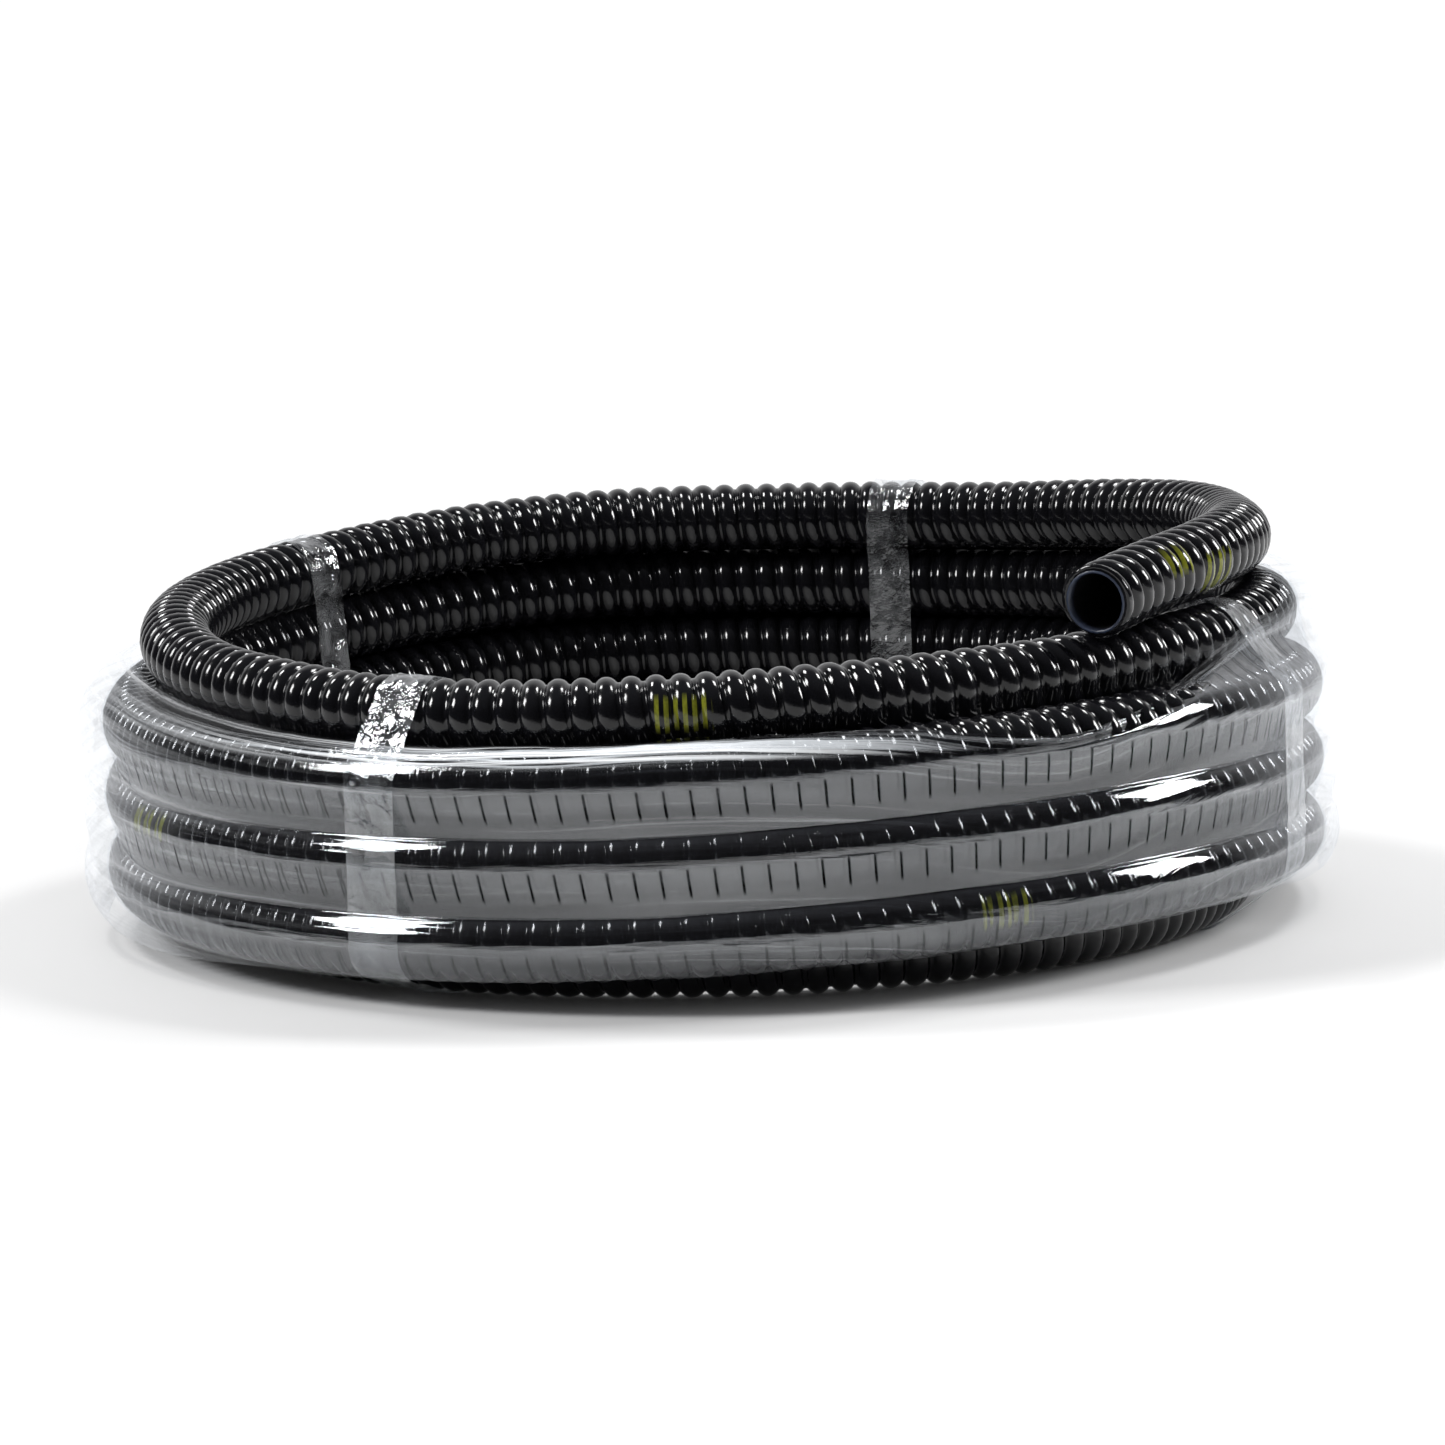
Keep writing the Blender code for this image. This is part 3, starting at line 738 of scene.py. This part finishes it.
def film_section(share, clearance, layer):
    """The film's cross-section at each share of a turn round the coil.

    It rounds the top wrapped loop, then falls to the bottom one. Over each loop's upper side it
    lies on the ribs, and from the loop's middle it runs almost straight to a crease on the next
    loop's upper side. Last it tucks under the bottom wrapped loop. Returned are arrays of
    radius, height, turns along the hose, direction from a loop's centre, and how far the
    valley between two ribs shows.
    """
    size = (HOSE_RADIUS + clearance)[:, None]
    degrees = share * 360
    rows = np.stack([np.stack(section_centre(share + loop)) for loop in range(5)])
    radius, height = rows[:, 0], rows[:, 1]
    with_top = smooth_step((degrees - 300) / 40)
    with_bottom = 1 - smooth_step((degrees - 20) / 45)
    with_bottom = np.where(degrees > 180, 0.0, with_bottom)
    blend = lambda part, values, start, end: values[start] + part * (values[end] - values[start])
    high = [blend(with_top, values, 1, 0) for values in (radius, height)]
    low = [blend(with_bottom, values, 3, 4) for values in (radius, height)]
    bottom, top = film_limits(degrees)
    top = top + 0.10 * lattice_noise(share, 0.5 + 0 * share, 34, 1, 11 + layer) - 0.12 * layer
    bottom = bottom + 0.14 * lattice_noise(share, 0.5 + 0 * share, 40, 1, 21 + layer) + 0.16 * layer
    # Over the top wrapped loop
    over = np.linspace(1, 0, 26)[:-1] * top[:, None]
    # Straight down past the loops
    drop = np.linspace(0, 1, 104)
    z = high[1][:, None] + (low[1] - high[1])[:, None] * drop[None, :]
    outer = np.full(z.shape, -1.0)
    phase_angle = np.full(z.shape, np.pi / 2)
    row_of = np.ones(z.shape, dtype=int)
    contact = np.zeros(z.shape)
    crease = 0.0162 + 0.0020 * lattice_noise(share, 0.5 + 0 * share, 19, 1, 31 + layer)
    crease = crease[:, None]
    leave = -0.0015
    reach = lambda drop: np.sqrt(np.maximum(size ** 2 - drop ** 2, 0.0))
    for row in range(5):
        above = z - height[row][:, None]
        r_row = radius[row][:, None]
        on_loop = (above <= crease) & (above >= leave)
        circle = r_row + reach(above)
        outer = np.where(on_loop, np.maximum(outer, circle), outer)
        row_of = np.where(above <= crease, row, row_of)
        if row < 4:
            gap = (height[row] - height[row + 1])[:, None]
            below = -(above - leave)
            fall = (gap + leave - crease)
            start = r_row + reach(leave)
            end = radius[row + 1][:, None] + reach(crease)
            part = np.clip(below / np.maximum(fall, 1e-4), 0, 1)
            line = start + (end - start) * part ** 1.25
            free = (above < leave) & (z > height[row + 1][:, None] + crease)
            outer = np.where(free, np.maximum(outer, line), outer)
            touching = smooth_step(-above / 0.002) * (1 - smooth_step((-above - 0.0145) / 0.004))
            contact = np.where(above <= crease, touching, contact)
        turn = np.pi / 2 + np.arcsin(np.clip(-above / size, -1, 1))
        phase_angle = np.where(above <= crease, turn, phase_angle)
    outer = np.where(outer < 0, high[0][:, None] + size, outer)
    # Under the bottom wrapped loop
    under = np.linspace(0, 1, 22)[1:] * bottom[:, None]
    top_radius = high[0][:, None] + size * np.cos(over)
    top_height = high[1][:, None] + size * np.sin(over)
    low_radius = low[0][:, None] + size * np.cos(under)
    low_height = low[1][:, None] + size * np.sin(under)
    join = lambda parts: np.concatenate(parts, axis=1)
    top_row, low_row = np.where(degrees > 300, 0, 1), np.where((degrees < 60), 4, 3)
    turns = join([(share + top_row)[:, None] + 0 * over, share[:, None] + row_of,
                  (share + low_row)[:, None] + 0 * under])
    angles = join([np.pi / 2 - over, phase_angle, np.pi / 2 - under])
    low_contact = smooth_step((-under - 0.05) / 0.2) * (1 - smooth_step((-under - 0.8) / 0.2))
    contact = join([0 * over, contact, 0.5 * low_contact])
    radius, height = join([top_radius, outer, low_radius]), join([top_height, z, low_height])
    return radius, height, turns, angles, contact


def stretch_film(name, layer, material):
    """One turn of stretch film as a thin sheet: its cross-section carried once round the coil.

    Long wrinkles push it out and in, along the coil far more slowly than down it, and short
    crumples grow towards its two edges. The sheet and its area are returned.
    """
    wrap = wrap_settings()
    columns = 540
    share = np.arange(columns) / columns
    # The outer layer stands off the stack at both sides of the coil.
    degrees = share * 360
    stand_off = np.exp(-((degrees - 188) / 32) ** 2)
    stand_off = stand_off + 0.6 * np.exp(-(((degrees + 180) % 360 - 180) / 22) ** 2)
    clearance = wrap.film_clearance + 0.0007 * layer + 0.0120 * layer * stand_off
    radius, height, turns, angles, contact = film_section(share, clearance, layer)
    rows = radius.shape[1]
    u = share[:, None] + np.zeros((1, rows))
    v = np.linspace(0, 1, rows)[None, :] + np.zeros((columns, 1))
    edge = np.exp(-v / 0.10) + np.exp(-(1 - v) / 0.07)
    noise = lambda cells_u, cells_v, seed: lattice_noise(u, v, cells_u, cells_v, seed + layer)
    wrinkle = wrap.film_wrinkle * (0.55 * noise(26, 30, 41) + 0.45 * noise(60, 55, 43))
    crumple = 0.0016 * edge * (noise(150, 40, 51) * 0.6 + noise(70, 24, 53) * 0.6)
    crumple = np.maximum(crumple, -0.0004) * (1 - 0.92 * np.clip(stand_off, 0, 1))[:, None]
    # Over the top the film is pushed mostly upwards, and down the side mostly outwards.
    out = (wrinkle + crumple) * np.where(v < 0.17, 0.35, 1.0)
    up = (np.maximum(crumple, 0) + wrinkle) * np.where(v < 0.17, 1.0, 0.15)
    points = in_space(2 * np.pi * u, radius + out, height + up)
    faces = grid_faces(columns, rows, wrap_rows=True)
    steps = [np.diff(values, axis=1, prepend=values[:, :1]) for values in (radius, height)]
    down = np.cumsum(np.hypot(*steps), axis=1)
    phase = HOSE.distance_at(turns) / hose_settings().rib_pitch - angles / (2 * np.pi) + 0.5
    # Mask of the painted highlight: a band just under the top edge at the front, and on the outer
    # layer the sides where the film stands off.
    under_edge = smooth_step((v - 0.020) / 0.020) * (1 - smooth_step((v - 0.088) / 0.022))
    front = np.exp(-((degrees - 256) / 32) ** 2)[:, None]
    painted_glare = np.clip(front * under_edge + 0.10 * stand_off[:, None] * layer, 0, 1)
    attributes = {"round_coil": u, "down_section": down, "painted_glare": painted_glare,
                  "rib_phase": phase, "rib_contact": contact, "loose": np.clip(edge, 0, 1),
                  "over_top": 1 - smooth_step((v - 0.10) / 0.08)}
    film = add_mesh(name, points, faces, attributes, material)
    area = 2 * np.pi * FILM_RADIUS * float(down[:, -1].mean())
    return film, area


# --- The tapes ---

def tape_outline(degrees, clearance, count):
    """Even points round the tightest loop over every hose at an angle, as radius and height.

    In each direction the loop lies on whichever hose section reaches furthest that way.
    """
    turns = degrees / 360 + np.arange(6)
    turns = turns[turns < TAPED_TURNS]
    radius, height = section_centre(turns)
    direction = np.linspace(0, 2 * np.pi, 721)[:, None]
    reach = radius * np.cos(direction) + height * np.sin(direction)
    pick = reach.argmax(axis=1)
    size = HOSE_RADIUS + clearance
    direction = direction[:, 0]
    outline = np.stack([radius[pick] + size * np.cos(direction),
                        height[pick] + size * np.sin(direction)], -1)
    along = distances(outline)
    even = np.linspace(0, along[-1], count + 1)[:-1]
    return np.interp(even, along, outline[:, 0]), np.interp(even, along, outline[:, 1]), along[-1]


def clear_tape(name, degrees, seed, material):
    """A clear tape: a band round the coil's section, with long creases and loose edges."""
    wrap = wrap_settings()
    count, across = 260, 17
    half = math.degrees(wrap.tape_width / 2 / COIL_RADIUS)
    offsets = np.linspace(-half, half, across)
    outlines = [tape_outline(degrees + offset, wrap.tape_clearance, count) for offset in offsets]
    radius = np.stack([outline[0] for outline in outlines], -1)
    height = np.stack([outline[1] for outline in outlines], -1)
    length = outlines[across // 2][2]
    middle_radius, middle_height = radius.mean(), height.mean()
    u = (np.arange(count) / count)[:, None] + np.zeros((1, across))
    v = np.linspace(0, 1, across)[None, :] + np.zeros((count, 1))
    push = 0.6 * lattice_noise(u, v, 34, 5, seed) + 0.4 * lattice_noise(u, v, 80, 8, seed + 1)
    push = wrap.tape_wrinkle * np.maximum(push, -0.4)
    away_radius, away_height = radius - middle_radius, height - middle_height
    far = np.hypot(away_radius, away_height)
    radius = radius + push * away_radius / far
    height = np.maximum(height + push * away_height / far, 0.0003)
    sway = 0.0015 * lattice_noise(u, 0 * v, 30, 2, seed + 2)
    angle = np.radians(degrees + offsets)[None, :] + sway
    points = in_space(angle, radius, height)
    faces = grid_faces(count, across, wrap_rows=True)
    return add_mesh(name, points, faces, None, material), length


# --- The stage ---

def softbox(name, bearing, elevation, distance, width, height, power, aim=(0.0, 0.0, 0.10)):
    """A rectangular studio light. Bearing 0 is the camera's side, and 90 the right-hand side."""
    a, e = math.radians(bearing), math.radians(elevation)
    away = Vector((math.sin(a) * math.cos(e), -math.cos(a) * math.cos(e), math.sin(e)))
    light = bpy.data.lights.new(name, "AREA")
    light.shape = "RECTANGLE"
    light.size, light.size_y, light.energy = width, height, power
    lamp = bpy.data.objects.new(name, light)
    lamp.location = Vector(aim) + away * distance
    lamp.rotation_euler = away.to_track_quat("Z", "Y").to_euler()
    bpy.context.scene.collection.objects.link(lamp)
    return lamp


def studio_world():
    """Near-white to the camera, even light for matt surfaces, and a dim room for reflections."""
    nodes = Nodes("studio", "World")
    place = nodes.add("ShaderNodeTexCoord").outputs["Generated"]
    split = nodes.add("ShaderNodeSeparateXYZ", Vector=place)
    ramp = nodes.add("ShaderNodeValToRGB")
    steps = ramp.color_ramp
    steps.elements[0].position, steps.elements[0].color = 0.0, (0.75, 0.75, 0.76, 1)
    steps.elements[1].position, steps.elements[1].color = 1.0, (0.16, 0.165, 0.18, 1)
    for position, grey in ((0.485, 0.75), (0.510, 0.05), (0.60, 0.02), (0.78, 0.035)):
        steps.elements.new(position).color = (grey, grey, grey * 1.06, 1)
    nodes.set(ramp, 0, nodes.ramp(split.outputs["Z"], -1.0, 1.0))
    # The back of the room is a pale sweep, seen in glancing reflections.
    behind = nodes.ramp(split.outputs["Y"], 0.35, 0.75)
    room = nodes.blend(behind, ramp.outputs[0], (0.85, 0.85, 0.86, 1))
    rays = nodes.add("ShaderNodeLightPath").outputs
    for_matt = nodes.blend(rays["Is Diffuse Ray"], room, (0.40, 0.40, 0.405, 1))
    for_camera = nodes.blend(rays["Is Camera Ray"], for_matt, (0.98, 0.98, 0.98, 1))
    background = nodes.add("ShaderNodeBackground", Color=for_camera)
    bpy.context.scene.world = nodes.finish(background.outputs[0])


def studio_floor():
    """A wide level floor."""
    side = 60.0
    points = [(-side, -side, 0), (side, -side, 0), (side, side, 0), (-side, side, 0)]
    mesh = bpy.data.meshes.new("studio_floor")
    mesh.from_pydata(points, [], [(0, 1, 2, 3)])
    mesh.materials.append(floor_paint())
    floor = bpy.data.objects.new("studio_floor", mesh)
    bpy.context.scene.collection.objects.link(floor)


def print_settings():
    """Plain colour handling: what is lit to full white is shown as white."""
    view = bpy.context.scene.view_settings
    view.view_transform = "Standard"
    view.look = "None"


def studio_camera():
    """The camera: a long lens, a little above the coil, rolled slightly."""
    elevation, roll = math.radians(8.29), math.radians(1.67)
    target = Vector((0.0, 0.0, 0.100))
    back = Vector((0.0, -math.cos(elevation), math.sin(elevation)))
    level = Vector((1.0, 0.0, 0.0))
    upright = Vector((0.0, math.sin(elevation), math.cos(elevation)))
    right = level * math.cos(roll) - upright * math.sin(roll)
    up = level * math.sin(roll) + upright * math.cos(roll)
    data = bpy.data.cameras.new("studio_camera")
    data.sensor_width = 36.0
    data.lens = 154.3
    data.shift_x, data.shift_y = 0.0062, 0.0091
    data.clip_end = 200.0
    camera = bpy.data.objects.new("studio_camera", data)
    turn = Matrix((right, up, back)).transposed().to_4x4()
    place = target + back * stage_settings().camera_distance
    camera.matrix_world = Matrix.Translation(place) @ turn
    bpy.context.scene.collection.objects.link(camera)
    bpy.context.scene.camera = camera


# --- Operators ---

class OBJECT_OT_pool_hose_stage(bpy.types.Operator):
    """Build the floor, the lights and the camera"""
    bl_idname = "object.pool_hose_stage"
    bl_label = "Build Stage"

    def execute(self, context):
        studio_world()
        studio_floor()
        studio_camera()
        print_settings()
        for light in SOFTBOXES:
            softbox(*light)
        return {"FINISHED"}


class OBJECT_OT_pool_hose_body(bpy.types.Operator):
    """Build the hollow hose with its ribbed skin, loop by loop"""
    bl_idname = "object.pool_hose_body"
    bl_label = "Build Hose"

    def execute(self, context):
        plastic = hose_plastic()
        wall = hose_wall(cut_plastic())
        starts = [0.0003] + [float(HOSE.distance_at(turns)) for turns in LATER_LOOP_STARTS]
        ends = starts[1:] + [HOSE.length - 0.0003]
        skins = [ribbed_skin(f"ribbed_skin_{number}", start, end, plastic)
                 for number, (start, end) in enumerate(zip(starts, ends), 1)]
        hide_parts("hose_free_end_wall", "hose_inner_end_wall")
        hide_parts("hose_free_end_rib", "hose_loop_1")
        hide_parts("hose_loop_2")
        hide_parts("hose_loop_3")
        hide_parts("hose_loop_4")
        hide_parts("hose_loop_5", "hose_inner_end_rib")
        return {"FINISHED"}


class OBJECT_OT_pool_hose_film(bpy.types.Operator):
    """Build the stretch film in its layers"""
    bl_idname = "object.pool_hose_film"
    bl_label = "Build Film"

    def execute(self, context):
        inner, inner_area = stretch_film("film_inner_layer", 0,
                                         film_plastic("film_inner", 0.085, 1.0))
        outer, outer_area = stretch_film("film_outer_layer", 1,
                                         film_plastic("film_outer", 0.075, 7.0))
        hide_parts("film_wrap")
        return {"FINISHED"}


class OBJECT_OT_pool_hose_tapes(bpy.types.Operator):
    """Build the four clear tapes round the coil"""
    bl_idname = "object.pool_hose_tapes"
    bl_label = "Build Tapes"

    def execute(self, context):
        plastic = tape_plastic()
        for seed, (side, degrees) in enumerate(TAPE_ANGLES.items()):
            tape, length = clear_tape(f"clear_tape_{side}", degrees, 61 + 7 * seed, plastic)
            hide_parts(f"tape_{side}")
        return {"FINISHED"}


class VIEW3D_PT_pool_hose(bpy.types.Panel):
    """The hose's settings and the pieces that can be built"""
    bl_label = "Pool Hose"
    bl_space_type = "VIEW_3D"
    bl_region_type = "UI"
    bl_category = "Pool Hose"

    def draw(self, context):
        scene = context.scene
        for group in (scene.pool_hose, scene.pool_hose_wrap, scene.pool_hose_stage):
            for name in group.bl_rna.properties.keys():
                if name not in ("rna_type", "name"):
                    self.layout.prop(group, name)
        for operator in OPERATORS:
            self.layout.operator(operator.bl_idname)


OPERATORS = (OBJECT_OT_pool_hose_stage, OBJECT_OT_pool_hose_body, OBJECT_OT_pool_hose_film,
             OBJECT_OT_pool_hose_tapes)
CLASSES = (HoseSettings, WrapSettings, StageSettings, *OPERATORS, VIEW3D_PT_pool_hose)


def register():
    for each in CLASSES:
        bpy.utils.register_class(each)
    bpy.types.Scene.pool_hose = bpy.props.PointerProperty(type=HoseSettings)
    bpy.types.Scene.pool_hose_wrap = bpy.props.PointerProperty(type=WrapSettings)
    bpy.types.Scene.pool_hose_stage = bpy.props.PointerProperty(type=StageSettings)


def unregister():
    del bpy.types.Scene.pool_hose_stage
    del bpy.types.Scene.pool_hose_wrap
    del bpy.types.Scene.pool_hose
    for each in reversed(CLASSES):
        bpy.utils.unregister_class(each)


def main():
    register()
    bpy.ops.object.pool_hose_stage()
    bpy.ops.object.pool_hose_body()
    bpy.ops.object.pool_hose_film()
    bpy.ops.object.pool_hose_tapes()


if __name__ == "__main__":
    main()
